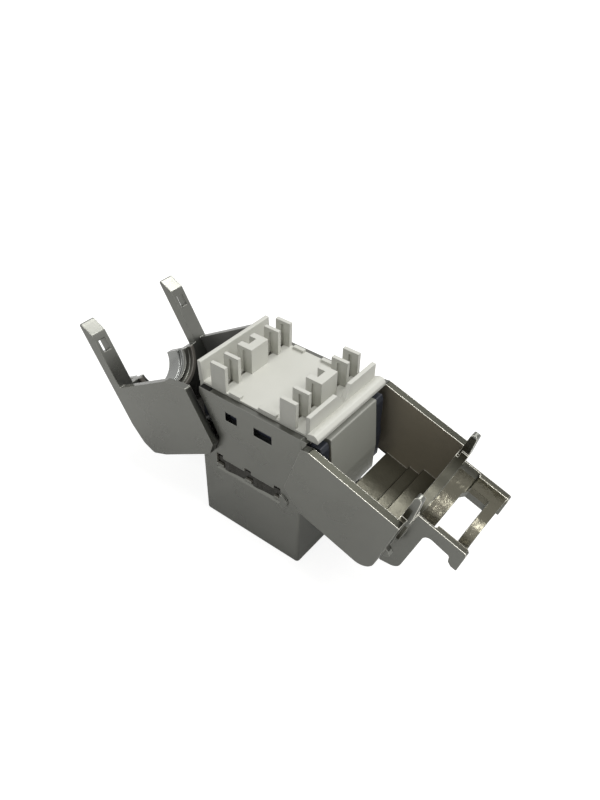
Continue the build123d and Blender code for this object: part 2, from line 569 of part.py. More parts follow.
def make_spring():
    """Stamped ground strip of the far side, with two fingers that rise to the mouth of the slot."""
    seat = NOSE_HALF_Y - SLOT_DEPTH
    low = SLOT_Z + SQUARE_RISE + SPRING_GAP
    high = SLOT_Z + SLOT_H - SPRING_GAP
    ends = (SQUARES_X[0] + SPRING_GAP, SQUARES_X[-1] + SQUARE_W - SPRING_GAP)
    spring = block(*ends, seat, seat + SPRING_T, low, high)
    peak = NOSE_HALF_Y - SPRING_T / 2 - SPRING_GAP
    for x0, after in zip(SQUARES_X, SQUARES_X[1:]):
        x0 += SQUARE_W
        path = [(x0 + 0.15, peak - 0.15), (x0 + 0.35, peak), (x0 + 0.9, peak), (x0 + 1.9, seat + 0.2), (after, seat + 0.1)]
        face = make_face(Polyline(*strip(path, SPRING_T), close=True))
        spring += Pos(0, 0, SLOT_Z + SPRING_GAP) * extrude(face, amount=high - SLOT_Z - SPRING_GAP)
    return spring


def make_latch():
    """Lever on a trunnion at its root, with a wedge and a thumb lip."""
    x, z = LATCH_PIVOT
    out = LATCH_OUT_X
    outline = [(x - 0.3, z - 0.65, 0.2), (x + 0.4, z - 0.65, 0.3), (x + 0.65, z + 0.45), (out, z + 2.45, 0.2)]
    outline += [(out, z + 3.05, 0.1), (x + 0.9, z + 3.25), (x + 0.95, z + 4.75), (out, z + 5.25, 0.15)]
    outline += [(out, z + 5.85, 0.15), (x + 0.3, z + 5.75, 0.3), (x, z + 1.75), (x - 0.4, z + 0.25)]
    lever = slab(outline, -LATCH_HALF_Y, LATCH_HALF_Y)
    pin = LATCH_HALF_Y + CHEEK_GAP + CHEEK_T
    return lever + rod_y(x, z, LATCH_PIN_R, -pin, pin)


export_step(make_shell(), "parts/body_shell.step")
export_step(make_tie_wing(), "parts/tie_wing.step")
export_step(make_cradle_wing(), "parts/cradle_wing.step")
export_step(make_wire_block(), "parts/wire_block.step")
export_step(make_panel(), "parts/cover_panel.step")
export_step(make_carrier(), "parts/blade_carrier.step")
export_step(make_board(), "parts/circuit_board.step")
export_step(make_insert(), "parts/port_insert.step")
export_step(mirror(make_spring(), about=Plane.XZ), "parts/ground_spring_near.step")
export_step(make_spring(), "parts/ground_spring_far.step")
export_step(make_latch(), "parts/latch.step")
for number, y in enumerate(contact_places(), start=1):
    export_step(make_contact(y), f"parts/port_contact_{number}.step")
for number, (x, y) in enumerate(blade_places(), start=1):
    export_step(make_blade(x, y), f"parts/blade_{number}.step")
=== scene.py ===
"""Keystone jack with two hinged wings: finishes, added detail and studio, in metres."""

import logging
import math
from dataclasses import dataclass
from enum import Enum

import bmesh
import bpy
from mathutils import Matrix, Vector


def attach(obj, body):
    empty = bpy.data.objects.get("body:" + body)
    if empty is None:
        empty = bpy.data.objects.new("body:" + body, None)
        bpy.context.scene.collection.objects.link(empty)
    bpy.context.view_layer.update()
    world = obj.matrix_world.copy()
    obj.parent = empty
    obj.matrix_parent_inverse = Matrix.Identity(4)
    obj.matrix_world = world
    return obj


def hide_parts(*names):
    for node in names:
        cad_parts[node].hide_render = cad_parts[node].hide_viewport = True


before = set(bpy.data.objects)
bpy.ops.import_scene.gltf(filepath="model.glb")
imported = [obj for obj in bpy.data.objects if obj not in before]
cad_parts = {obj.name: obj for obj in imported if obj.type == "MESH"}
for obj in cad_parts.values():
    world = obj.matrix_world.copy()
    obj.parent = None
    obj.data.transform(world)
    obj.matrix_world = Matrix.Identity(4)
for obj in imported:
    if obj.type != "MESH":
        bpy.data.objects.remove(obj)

LOG = logging.getLogger("keystone_jack")
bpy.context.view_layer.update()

Point = tuple[float, float, float]
Span = tuple[float, float]
Outline = tuple[tuple[float, float], ...]
Material = bpy.types.Material
Node = bpy.types.Node
Piece = bpy.types.Object
Socket = bpy.types.NodeSocket
Feed = Socket | Material | float | Point

MM = 0.001

# CAD corners nearer than this are merged, and faces that turn by less are joined into one
MERGE_DISTANCE = 0.0005 * MM
FLAT_ANGLE = math.radians(0.5)

# Edges that turn by less than the first angle are shaded smooth, and a rounding takes those that
# turn by more than the second
SMOOTH_ANGLE = math.radians(28)
ROUNDED_ANGLE = math.radians(35)
ROUNDING_SEGMENTS = 2

# Noise values that a change of tone or roughness spans, for a slow change and for a quicker one
NOISE_SPREAD = (0.3, 0.7)
NOISE_MIDDLE = (0.35, 0.65)

# Cosines between the rounded and the flat normal where the painted edge highlight is full and where it
# ends
EDGE_HIGHLIGHT_COSINES = (0.80, 0.97)
EDGE_HIGHLIGHT_SAMPLES = 8

# Samples that find the edges which the shader rounds
ROUNDING_SAMPLES = 6

# Socket type of a Geometry Nodes input, by the type of its value
INPUT_KINDS = {int: "NodeSocketInt", float: "NodeSocketFloat", tuple: "NodeSocketVector"}


class Body(Enum):
    """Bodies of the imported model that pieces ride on."""

    SHELL = "shell"
    TIE_WING = "tie_wing_body"
    CRADLE_WING = "cradle_wing_body"
    LATCH = "latch_body"


class Slot(Enum):
    """Names of the record's material slots, passed along with new pieces but not used."""

    CASTING = "plated_casting"
    WHITE = "white_moulding"
    DARK = "dark_moulding"
    CONTACT = "contact_plating"


class Mixed(Enum):
    """What a Mix node mixes."""

    COLOURS = "RGBA"
    NUMBERS = "FLOAT"


@dataclass(frozen=True)
class Noise:
    """Noise pattern: waves in a metre, octaves, and weight of the finer octaves."""

    scale: float
    detail: float = 2.0
    roughness: float = 0.5


class Tree:
    """Node tree whose nodes are added together with their inputs."""

    prefix = ""

    def __init__(self, tree: bpy.types.NodeTree) -> None:
        """Work on a tree that exists."""
        self.tree = tree

    def feed(self, target: Socket, source: Feed) -> None:
        """Link an input to a socket, or set it to a plain value.

        Args:
            target: the input.
            source: a socket, a number, a point, a linear colour or a material.
        """
        if isinstance(source, Socket):
            self.tree.links.new(source, target)
        elif target.type == "RGBA":
            target.default_value = (*source, 1.0)
        else:
            target.default_value = source

    def fill(self, node: Node, **inputs: Feed) -> None:
        """Feed a node's inputs by name; underscores in a name stand for spaces."""
        for name, source in inputs.items():
            self.feed(node.inputs[name.replace("_", " ")], source)

    def add(self, kind: str, **inputs: Feed) -> Node:
        """Add a node and feed its inputs.

        Args:
            kind: type of the node, without the tree's prefix.
            inputs: what each input gets, with underscores for spaces.

        Returns:
            The node.
        """
        node = self.tree.nodes.new(self.prefix + kind)
        self.fill(node, **inputs)
        return node


class ShaderTree(Tree):
    """Node tree of a material or of the world."""

    prefix = "ShaderNode"

    def ramp(self, value: Socket, span: Span, out: Span = (0.0, 1.0)) -> Socket:
        """Map a value from one span to another, with its ends held.

        Args:
            value: socket to map.
            span: values that give the first and the second of out.
            out: the two results.

        Returns:
            The mapped value's socket.
        """
        node = self.add("MapRange", Value=value, From_Min=span[0], From_Max=span[1])
        self.fill(node, To_Min=out[0], To_Max=out[1])
        return node.outputs[0]

    def mix(self, share: Socket, first: Feed, second: Feed, kind: Mixed = Mixed.COLOURS) -> Socket:
        """Mix two colours or numbers.

        Args:
            share: socket with the share of the second.
            first: what is shown at share 0.
            second: what is shown at share 1.
            kind: what the two are.

        Returns:
            The mixture's socket.
        """
        node = self.add("Mix")
        node.data_type = kind.value
        shown = [socket for socket in node.inputs if socket.enabled]
        for target, source in zip(shown, (share, first, second), strict=True):
            self.feed(target, source)
        return next(socket for socket in node.outputs if socket.enabled)

    def combine(self, kind: str, operation: str, first: Feed, second: Feed) -> Node:
        """Add a node that combines two values.

        Args:
            kind: Math for numbers, VectorMath for vectors.
            operation: name of the node's operation.
            first: first value.
            second: second value.

        Returns:
            The node.
        """
        node = self.add(kind)
        node.operation = operation
        self.feed(node.inputs[0], first)
        self.feed(node.inputs[1], second)
        return node

    def math(self, operation: str, first: Feed, second: Feed = 0.0) -> Socket:
        """Result of a Math operation on two numbers."""
        return self.combine("Math", operation, first, second).outputs[0]

    def dot(self, first: Feed, second: Feed) -> Socket:
        """Dot product of two vectors."""
        return self.combine("VectorMath", "DOT_PRODUCT", first, second).outputs["Value"]

    def backdrop_share(self) -> Socket:
        """Tell the rays that see the backdrop from those that light the jack.

        Returns:
            Socket that is 1 for camera, glossy and transmission rays and 0 for others.
        """
        path = self.add("LightPath")
        share = path.outputs["Is Camera Ray"]
        for ray in ("Is Glossy Ray", "Is Transmission Ray"):
            share = self.math("MAXIMUM", share, path.outputs[ray])
        return share


class NodeGraph(ShaderTree):
    """Node tree of a new material, with patterns on object coordinates."""

    def __init__(self, name: str) -> None:
        """Start a material with a shader and its output.

        Args:
            name: name of the material.
        """
        self.material = bpy.data.materials.new(name)
        self.material.use_nodes = True
        super().__init__(self.material.node_tree)
        self.tree.nodes.clear()
        self.shader = self.add("BsdfPrincipled")
        self.output = self.add("OutputMaterial", Surface=self.shader.outputs[0])
        self.position = self.add("TexCoord").outputs["Object"]

    def noise(self, pattern: Noise) -> Socket:
        """Noise on object coordinates.

        Args:
            pattern: the noise's sizes.

        Returns:
            The noise's value socket.
        """
        node = self.add("TexNoise", Vector=self.position, Scale=pattern.scale)
        self.fill(node, Detail=pattern.detail, Roughness=pattern.roughness)
        return node.outputs[0]

    def along(self, start: Point, way: Point) -> Socket:
        """Distance from a point along a direction, in metres.

        Args:
            start: point where the distance is 0.
            way: direction, of length 1.

        Returns:
            The distance's socket.
        """
        offset = self.combine("VectorMath", "SUBTRACT", self.position, start)
        return self.dot(offset.outputs[0], way)

    def across(self) -> Socket:
        """Distance from the jack's middle plane, in metres."""
        return self.math("ABSOLUTE", self.along((0.0, 0.0, 0.0), (0.0, 1.0, 0.0)))

    def within(self, value: Socket, span: Span) -> Socket:
        """Test whether a distance lies between two limits.

        Args:
            value: distance in metres.
            span: the two limits, in millimetres.

        Returns:
            Socket that is 1 between the limits and 0 outside them.
        """
        low, high = span
        node = self.combine("Math", "COMPARE", value, (low + high) / 2 * MM)
        self.feed(node.inputs[2], (high - low) / 2 * MM)
        return node.outputs[0]

    def rounded_normal(self, radius: float, samples: int) -> Socket:
        """Normal of the surface as if its edges were rounded.

        Args:
            radius: radius of the edges, in metres.
            samples: rays that find the edges.

        Returns:
            The normal's socket.
        """
        node = self.add("Bevel", Radius=radius)
        node.samples = samples
        return node.outputs[0]

    def edge_highlight_share(self, radius: float) -> Socket:
        """Share of the painted highlight along edges: 1 along edges and 0 on open faces.

        Args:
            radius: how far it reaches from the edge, in metres.

        Returns:
            The share's socket.
        """
        flat = self.add("NewGeometry").outputs["Normal"]
        cosine = self.dot(self.rounded_normal(radius, EDGE_HIGHLIGHT_SAMPLES), flat)
        return self.ramp(cosine, EDGE_HIGHLIGHT_COSINES, (1.0, 0.0))

    def bump(self, height: Socket, strength: Feed, depth: float, radius: float) -> None:
        """Give the shader grain and softly rounded edges.

        Args:
            height: socket with the grain's height.
            strength: strength of the grain.
            depth: depth of the grain, in metres.
            radius: radius of the rounded edges, in metres.
        """
        normal = self.rounded_normal(radius, ROUNDING_SAMPLES)
        node = self.add("Bump", Strength=strength, Distance=depth, Height=height, Normal=normal)
        self.fill(self.shader, Normal=node.outputs[0])


@dataclass(frozen=True)
class Hinge:
    """Pivot that zones are measured from, and the tilt of what turns on it.

    The place is in millimetres and the tilt in degrees. Zones run outwards from the pivot, down by
    the tilt, and rise at a right angle to that.
    """

    place: Point
    tilt: float = 0.0

    def outwards(self) -> Point:
        """Direction away from the jack, along the tilted casting."""
        lean = math.radians(self.tilt)
        return (self.side() * math.cos(lean), 0.0, -math.sin(lean))

    def upwards(self) -> Point:
        """Direction up, at a right angle to the tilted casting."""
        lean = math.radians(self.tilt)
        return (self.side() * math.sin(lean), 0.0, math.cos(lean))

    def side(self) -> float:
        """Side of the jack that the hinge is on, as 1 or -1."""
        return math.copysign(1.0, self.place[0])


@dataclass(frozen=True)
class Zone:
    """Part of a casting, within limits in millimetres from a hinge.

    A zone can also be held within a bore that runs along the casting, given as the height of its
    middle and its radius.
    """

    hinge: Hinge
    along: Span
    across: Span
    rise: Span
    bore: tuple[float, float] | None = None

    def share(self, graph: NodeGraph) -> Socket:
        """Socket that is 1 in the zone and 0 elsewhere.

        Args:
            graph: graph that gets the nodes.

        Returns:
            The socket.
        """
        start = tuple(value * MM for value in self.hinge.place)
        across = graph.across()
        height = graph.along(start, self.hinge.upwards())
        tests = [
            graph.within(across, self.across),
            graph.within(graph.along(start, self.hinge.outwards()), self.along),
            graph.within(height, self.rise),
        ]
        if self.bore:
            middle, radius = self.bore
            drop = graph.math("SUBTRACT", height, middle * MM)
            squares = [graph.math("MULTIPLY", value, value) for value in (drop, across)]
            distance = graph.math("POWER", graph.math("ADD", *squares), 0.5)
            tests.append(graph.within(distance, (0.0, radius)))
        share = tests[0]
        for test in tests[1:]:
            share = graph.math("MULTIPLY", share, test)
        return share


@dataclass(frozen=True)
class Patch:
    """Zone of a casting with a colour, metal, roughness and hammering of its own; most of these colours
    are painted shade and painted light.
    """

    zone: Zone
    colour: Point
    metal: float = 1.0
    roughness: float = 0.34
    hammered: float = 0.0


@dataclass(frozen=True)
class PlatedCasting:
    """Satin nickel plate with a painted highlight along its edges, brighter in the rim's zone, and
    patches whose colours are mostly painted shade and painted light.
    """

    name: str
    patches: tuple[Patch, ...] = ()
    rim: Patch | None = None
    face: Point = (0.144, 0.145, 0.131)
    face_spot: Point = (0.158, 0.159, 0.144)
    # Colour of the painted highlight along edges
    edge: Point = (0.26, 0.26, 0.235)
    face_roughness: Span = (0.25, 0.34)
    cloud: Noise = Noise(160.0, 3.0)
    grain: Noise = Noise(6000.0, 3.0, 0.6)
    hammer: Noise = Noise(1500.0, 2.0, 0.55)
    grain_strength: float = 0.02
    grain_depth: float = 0.05 * MM
    edge_radius: float = 0.16 * MM
    # How far the painted edge highlight reaches from an edge
    highlight_reach: float = 0.12 * MM

    def build(self) -> Material:
        """Build the material.

        Returns:
            The plated casting's material.
        """
        graph = NodeGraph(self.name)
        cloud = graph.noise(self.cloud)
        colour = graph.mix(graph.ramp(cloud, NOISE_SPREAD), self.face, self.face_spot)
        rough = graph.ramp(cloud, NOISE_MIDDLE, self.face_roughness)
        metal: Feed = 1.0
        strength: Feed = self.grain_strength
        height = graph.noise(self.grain)
        coarse = graph.noise(self.hammer)
        for patch in self.patches:
            share = patch.zone.share(graph)
            colour = graph.mix(share, colour, patch.colour)
            rough = graph.mix(share, rough, patch.roughness, Mixed.NUMBERS)
            metal = graph.mix(share, metal, patch.metal, Mixed.NUMBERS)
            if patch.hammered:
                strength = graph.mix(share, strength, patch.hammered, Mixed.NUMBERS)
                height = graph.mix(share, height, coarse, Mixed.NUMBERS)
        # Painted highlight along the edges, near white in the rim's zone
        edge: Feed = self.edge
        if self.rim:
            edge = graph.mix(self.rim.zone.share(graph), edge, self.rim.colour)
        colour = graph.mix(graph.edge_highlight_share(self.highlight_reach), colour, edge)
        graph.fill(graph.shader, Base_Color=colour, Metallic=metal, Roughness=rough)
        graph.bump(height, strength, self.grain_depth, self.edge_radius)
        return graph.material


@dataclass(frozen=True)
class Moulding:
    """Moulded plastic with a fine matt surface."""

    name: str
    base: Point
    shade: Point
    roughness: Span = (0.42, 0.55)
    cloud: Noise = Noise(220.0, 3.0)
    grain: Noise = Noise(14000.0)
    grain_strength: float = 0.08
    grain_depth: float = 0.012 * MM
    edge_radius: float = 0.10 * MM

    def build(self) -> Material:
        """Build the material.

        Returns:
            The moulding's material.
        """
        graph = NodeGraph(self.name)
        tone = graph.ramp(graph.noise(self.cloud), NOISE_SPREAD)
        fine = graph.noise(self.grain)
        rough = graph.ramp(fine, NOISE_SPREAD, self.roughness)
        graph.fill(graph.shader, Base_Color=graph.mix(tone, self.base, self.shade), Roughness=rough)
        graph.bump(fine, self.grain_strength, self.grain_depth, self.edge_radius)
        return graph.material


@dataclass(frozen=True)
class ThinMetal:
    """Stamped or plated strip with faint marks."""

    name: str
    base: Point
    shade: Point
    roughness: Span = (0.22, 0.36)
    marks: Noise = Noise(2600.0, 4.0, 0.65)

    def build(self) -> Material:
        """Build the material.

        Returns:
            The strip's material.
        """
        graph = NodeGraph(self.name)
        marks = graph.noise(self.marks)
        colour = graph.mix(graph.ramp(marks, NOISE_MIDDLE), self.base, self.shade)
        rough = graph.ramp(marks, NOISE_SPREAD, self.roughness)
        graph.fill(graph.shader, Base_Color=colour, Metallic=1.0, Roughness=rough)
        return graph.material


@dataclass(frozen=True)
class BoardMask:
    """Green solder mask with the weave of the laminate under it."""

    name: str = "solder_mask"
    base: Point = (0.010, 0.075, 0.028)
    shade: Point = (0.016, 0.105, 0.040)
    roughness: float = 0.32
    weave: float = 2400.0
    weave_strength: float = 0.06
    weave_depth: float = 0.01 * MM
    edge_radius: float = 0.05 * MM

    def build(self) -> Material:
        """Build the material.

        Returns:
            The board's material.
        """
        graph = NodeGraph(self.name)
        checks = graph.add("TexChecker", Vector=graph.position, Scale=self.weave).outputs["Fac"]
        colour = graph.mix(checks, self.base, self.shade)
        graph.fill(graph.shader, Base_Color=colour, Roughness=self.roughness)
        graph.bump(checks, self.weave_strength, self.weave_depth, self.edge_radius)
        return graph.material


TIE_HINGE = Hinge((8.34, 0.0, 14.7), 17.75)
CRADLE_HINGE = Hinge((-7.0, 0.0, 14.7), 31.04)
SHELL_HINGE = Hinge((-7.0, 0.0, 14.7))

TIE_PATCHES = (
    # Painted shade: the tray's inside is a darker olive than the outer plate; its hammering is a real
    # bump
    Patch(  # inside of the tray
        Zone(TIE_HINGE, (-2.0, 12.2), (0.0, 7.40), (-2.85, 9.0)),
        (0.085, 0.082, 0.062), metal=0.75, roughness=0.33, hammered=0.5,
    ),
    # Painted light: the inner faces of the side plates are a lighter brown
    Patch(  # inner faces of the side plates
        Zone(TIE_HINGE, (-2.0, 12.2), (7.40, 7.50), (-2.85, 9.0)),
        (0.34, 0.305, 0.24), metal=0.5, roughness=0.42,
    ),
    # Painted shade: the collar is darkened so it shows no bright reflection
    Patch(  # collar at the end wall
        Zone(TIE_HINGE, (11.8, 12.85), (0.0, 6.30), (2.4, 8.2)),
        (0.085, 0.083, 0.066),
    ),
    # Painted shade: the tops of the side plates are near black between their painted edge highlights
    Patch(  # tops of the side plates
        Zone(TIE_HINGE, (-1.4, 12.3), (7.44, 8.50), (7.12, 7.20)),
        (0.030, 0.030, 0.024),
    ),
    # Painted shade: the tops of the arms are near black
    Patch(  # tops of the arms beside the trough
        Zone(TIE_HINGE, (12.4, 19.65), (4.84, 5.52), (7.37, 7.45)),
        (0.050, 0.049, 0.040),
    ),
    # Painted shade: the trough is a darker brown; its hammering is a real bump
    Patch(  # cable trough
        Zone(TIE_HINGE, (12.8, 19.65), (0.0, 4.90), (-4.0, 8.9), bore=(8.96, 5.62)),
        (0.125, 0.118, 0.090), metal=0.9, roughness=0.20, hammered=0.9,
    ),
)
# Painted highlight, near white, along the edges high on the tie wing's plates and arms
TIE_RIM_HIGHLIGHT = Patch(Zone(TIE_HINGE, (-0.6, 19.7), (0.0, 8.60), (6.9, 11.2)), (0.95, 0.93, 0.83))
CRADLE_PATCHES = (
    # Painted shade: the tray's inside is darker and warmer than the outer plate
    Patch(  # inside of the tray
        Zone(CRADLE_HINGE, (-2.0, 12.8), (0.0, 7.40), (-2.25, 9.0)),
        (0.12, 0.11, 0.095), metal=0.5, roughness=0.42,
    ),
    Patch(  # inner faces of the side plates
        Zone(CRADLE_HINGE, (-2.0, 12.8), (7.40, 7.50), (-2.25, 9.0)),
        (0.15, 0.15, 0.14), metal=0.5, roughness=0.42,
    ),
    # Painted shade: the tray's floor is near black
    Patch(  # floor of the tray
        Zone(CRADLE_HINGE, (-2.0, 12.9), (0.0, 7.50), (-2.25, 0.8)),
        (0.030, 0.029, 0.026), roughness=0.5,
    ),
    # Painted light: the bore is lighter than the plate, as if it caught the light
    Patch(  # bore of the cable cradle
        Zone(CRADLE_HINGE, (13.6, 17.6), (0.0, 4.45), (3.0, 8.1), bore=(8.2, 4.45)),
        (0.25, 0.255, 0.245), roughness=0.26,
    ),
)
SHELL_PATCHES = (
    # Painted shade: the lugs are near black so they stay dark in the gap beside the wing
    Patch(  # lugs of the cradle wing's hinge
        Zone(SHELL_HINGE, (-1.0, 3.0), (0.0, 7.30), (-4.4, 7.2)),
        (0.02, 0.02, 0.02), roughness=0.5,
    ),
    # Painted light: the walls of the pits are lighter so the shaded pits show brown-grey
    Patch(  # pits of the ground springs' slots
        Zone(SHELL_HINGE, (-12.0, 0.3), (6.50, 7.31), (-4.98, -2.3)),
        (0.30, 0.285, 0.245), metal=0.5, roughness=0.45,
    ),
)


@dataclass(frozen=True)
class Finishes:
    """Materials of the pieces."""

    shell: Material
    tie_wing: Material
    cradle_wing: Material
    white: Material
    panel: Material
    dark: Material
    carrier: Material
    board: Material
    strip: Material
    contact: Material
    blade: Material


def make_finishes() -> Finishes:
    """Build every finish once.

    Returns:
        The materials.
    """
    # The tie wing's painted edge highlight reaches further
    tie_wing = PlatedCasting("satin_nickel_tie_wing", TIE_PATCHES, TIE_RIM_HIGHLIGHT, highlight_reach=0.19 * MM)
    white = Moulding("warm_white_moulding", (0.545, 0.545, 0.495), (0.57, 0.57, 0.52))
    # The cover panel is the white moulding darkened as painted shade
    panel = Moulding("white_panel_painted_shade", (0.265, 0.268, 0.235), (0.285, 0.288, 0.255))
    dark = Moulding("dark_blue_grey_moulding", (0.014, 0.017, 0.024), (0.019, 0.022, 0.030))
    # Navy plastic, lightened as painted light so it shows in the shaded windows
    carrier = Moulding("navy_carrier_painted_light", (0.040, 0.046, 0.068), (0.046, 0.052, 0.076))
    # The spring strip is near black, as painted shade of its slot
    strip = ThinMetal("spring_strip_painted_shade", (0.030, 0.029, 0.025), (0.045, 0.043, 0.038))
    contact = ThinMetal("gold_plated_contact", (0.78, 0.52, 0.14), (0.84, 0.60, 0.20))
    blade = ThinMetal("tin_plated_blade", (0.34, 0.33, 0.30), (0.42, 0.41, 0.37))
    return Finishes(
        shell=PlatedCasting("satin_nickel_shell", SHELL_PATCHES).build(),
        tie_wing=tie_wing.build(),
        cradle_wing=PlatedCasting("satin_nickel_cradle_wing", CRADLE_PATCHES).build(),
        white=white.build(),
        panel=panel.build(),
        dark=dark.build(),
        carrier=carrier.build(),
        board=BoardMask().build(),
        strip=strip.build(),
        contact=contact.build(),
        blade=blade.build(),
    )


def add_object(name: str, data: bpy.types.ID) -> Piece:
    """Add an object to the scene.

    Args:
        name: name of the object.
        data: its mesh, lamp or camera.

    Returns:
        The object.
    """
    item = bpy.data.objects.new(name, data)
    bpy.context.scene.collection.objects.link(item)
    return item


def add_piece(edit: bmesh.types.BMesh, name: str, finish: Material) -> Piece:
    """Add a piece with an edited mesh, which is used up.

    Args:
        edit: the edited mesh.
        name: name of the piece.
        finish: its material.

    Returns:
        The piece.
    """
    mesh = bpy.data.meshes.new(name)
    edit.to_mesh(mesh)
    edit.free()
    mesh.materials.append(finish)
    return add_object(name, mesh)


def evaluated_mesh(item: Piece) -> bpy.types.Mesh:
    """Plain mesh of an object with its modifiers applied."""
    graph = bpy.context.evaluated_depsgraph_get()
    return bpy.data.meshes.new_from_object(item.evaluated_get(graph))


def seat(piece: Piece, body: Body, slot: Slot, *nodes: str) -> Piece:
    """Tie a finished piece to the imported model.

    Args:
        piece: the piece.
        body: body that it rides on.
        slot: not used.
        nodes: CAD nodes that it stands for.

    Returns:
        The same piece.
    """
    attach(piece, body.value)
    if nodes:
        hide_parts(*nodes)
    return piece


def smooth_copy(
    node: str, name: str, body: Body, slot: Slot, finish: Material, edge: float = 0.0
) -> Piece:
    """Piece with a CAD node's form, joined up and with smooth curved faces.

    Args:
        node: CAD node that the piece stands for.
        name: name of the piece.
        body: body that it rides on.
        slot: the record's slot of its finish.
        finish: its material.
        edge: width of its rounded edges, in metres.

    Returns:
        The new piece.
    """
    edit = bmesh.new()
    edit.from_mesh(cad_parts[node].data)
    bmesh.ops.remove_doubles(edit, verts=edit.verts, dist=MERGE_DISTANCE)
    bmesh.ops.dissolve_limit(
        edit, angle_limit=FLAT_ANGLE, verts=edit.verts, edges=edit.edges, delimit={"NORMAL"}
    )
    for face in edit.faces:
        face.smooth = True
    for seam in edit.edges:
        seam.smooth = seam.is_manifold and seam.calc_face_angle(math.pi) < SMOOTH_ANGLE
    piece = add_piece(edit, name, finish)
    if edge:
        round_edges(piece, edge)
    return seat(piece, body, slot, node)


def round_edges(piece: Piece, width: float) -> None:
    """Round a piece's sharp edges and keep the result as its mesh.

    Args:
        piece: the piece.
        width: width of the rounding, in metres.
    """
    rounding = piece.modifiers.new("rounding", "BEVEL")
    rounding.width = width
    rounding.segments = ROUNDING_SEGMENTS
    rounding.limit_method = "ANGLE"
    rounding.angle_limit = ROUNDED_ANGLE
    rounding.use_clamp_overlap = False
    rounding.harden_normals = True
    rounding.miter_outer = "MITER_ARC"
    mesh = evaluated_mesh(piece)
    piece.modifiers.clear()
    piece.data = mesh


def mirrored_slabs(name: str, outline: Outline, inner: float, outer: float, finish: Material) -> Piece:
    """Piece of two upright slabs, mirror images across the jack's middle plane.

    Args:
        name: name of the piece.
        outline: corners of a slab in X and Z, in millimetres.
        inner: distance of the slabs' inner faces from the middle plane, in metres.
        outer: distance of their outer faces.
        finish: material of the piece.

    Returns:
        The piece.
    """
    edit = bmesh.new()
    for side in (-1.0, 1.0):
        corners = [edit.verts.new((x * MM, side * inner, z * MM)) for x, z in outline]
        made = bmesh.ops.extrude_face_region(edit, geom=[edit.faces.new(corners)])["geom"]
        moved = [item for item in made if isinstance(item, bmesh.types.BMVert)]
        bmesh.ops.translate(edit, verts=moved, vec=(0.0, side * (outer - inner), 0.0))
    bmesh.ops.recalc_face_normals(edit, faces=edit.faces)
    return add_piece(edit, name, finish)


def dress(node: str, finish: Material) -> Piece:
    """Give a CAD node its finish.

    Args:
        node: name of the node.
        finish: its material.

    Returns:
        The node's object.
    """
    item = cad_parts[node]
    item.data.materials.clear()
    item.data.materials.append(finish)
    return item


class GeometryTree(Tree):
    """Geometry Nodes tree with named inputs for its sizes."""

    prefix = "GeometryNode"

    def __init__(self, name: str) -> None:
        """Start an empty tree.

        Args:
            name: name of the tree.
        """
        super().__init__(bpy.data.node_groups.new(name, "GeometryNodeTree"))
        for way in ("INPUT", "OUTPUT"):
            self.tree.interface.new_socket("Geometry", in_out=way, socket_type="NodeSocketGeometry")
        self.sizes: dict[str, float | Point] = {}
        self.source = self.tree.nodes.new("NodeGroupInput")
        self.result = self.tree.nodes.new("NodeGroupOutput")

    def size(self, name: str, value: float | Point) -> Socket:
        """Add a named input.

        Args:
            name: name of the input.
            value: a count, a length or a point.

        Returns:
            The input's socket inside the tree.
        """
        kind = INPUT_KINDS[type(value)]
        socket = self.tree.interface.new_socket(name, in_out="INPUT", socket_type=kind)
        self.sizes[socket.identifier] = value
        return self.source.outputs[name]

    def instances(self, points: Node, shape: Node) -> Socket:
        """Copies of a shape, one on each point."""
        places, item = points.outputs[0], shape.outputs[0]
        return self.add("InstanceOnPoints", Points=places, Instance=item).outputs[0]

    def bake(self, name: str, start: bpy.types.Mesh, geometry: Socket, finish: Material) -> Piece:
        """End the tree in Realize Instances and Set Material, and keep its result as a plain mesh.

        Args:
            name: name of the piece.
            start: mesh that the tree starts from.
            geometry: socket with the geometry.
            finish: material of the piece.

        Returns:
            The piece.
        """
        real = self.add("RealizeInstances", Geometry=geometry)
        paint = self.add("SetMaterial", Geometry=real.outputs[0], Material=finish)
        self.feed(self.result.inputs[0], paint.outputs[0])
        holder = add_object(name + "_tree", start)
        modifier = holder.modifiers.new("tree", "NODES")
        modifier.node_group = self.tree
        for identifier, value in self.sizes.items():
            modifier[identifier] = value
        mesh = evaluated_mesh(holder)
        mesh.name = name
        bpy.data.objects.remove(holder)
        return add_object(name, mesh)


@dataclass
class Castings:
    """Shell and the two wings, all die-cast and plated."""

    finishes: Finishes

    def build(self) -> list[Piece]:
        """Make the shell and the wings.

        Returns:
            The pieces.
        """
        castings = (
            ("body_shell", "shell_casting", Body.SHELL, self.finishes.shell),
            ("tie_wing", "tie_wing_casting", Body.TIE_WING, self.finishes.tie_wing),
            ("cradle_wing", "cradle_wing_casting", Body.CRADLE_WING, self.finishes.cradle_wing),
        )
        return [
            smooth_copy(node, name, body, Slot.CASTING, finish) for node, name, body, finish in castings
        ]


@dataclass
class Mouldings:
    """White wire block, white panel darkened as painted shade, dark carrier lightened as painted light,
    insert and latch.
    """

    finishes: Finishes
    edge: float = 0.06 * MM

    def build(self) -> list[Piece]:
        """Make the plastic pieces.

        Returns:
            The pieces.
        """
        white, panel = self.finishes.white, self.finishes.panel
        dark, carrier = self.finishes.dark, self.finishes.carrier
        return [
            smooth_copy("wire_block", "wire_block_moulding", Body.SHELL, Slot.WHITE, white),
            smooth_copy("cover_panel", "cover_panel_moulding", Body.SHELL, Slot.WHITE, panel, self.edge),
            smooth_copy("blade_carrier", "carrier_moulding", Body.SHELL, Slot.DARK, carrier),
            smooth_copy("port_insert", "insert_moulding", Body.SHELL, Slot.DARK, dark),
            smooth_copy("latch", "latch_moulding", Body.LATCH, Slot.DARK, dark, self.edge),
        ]


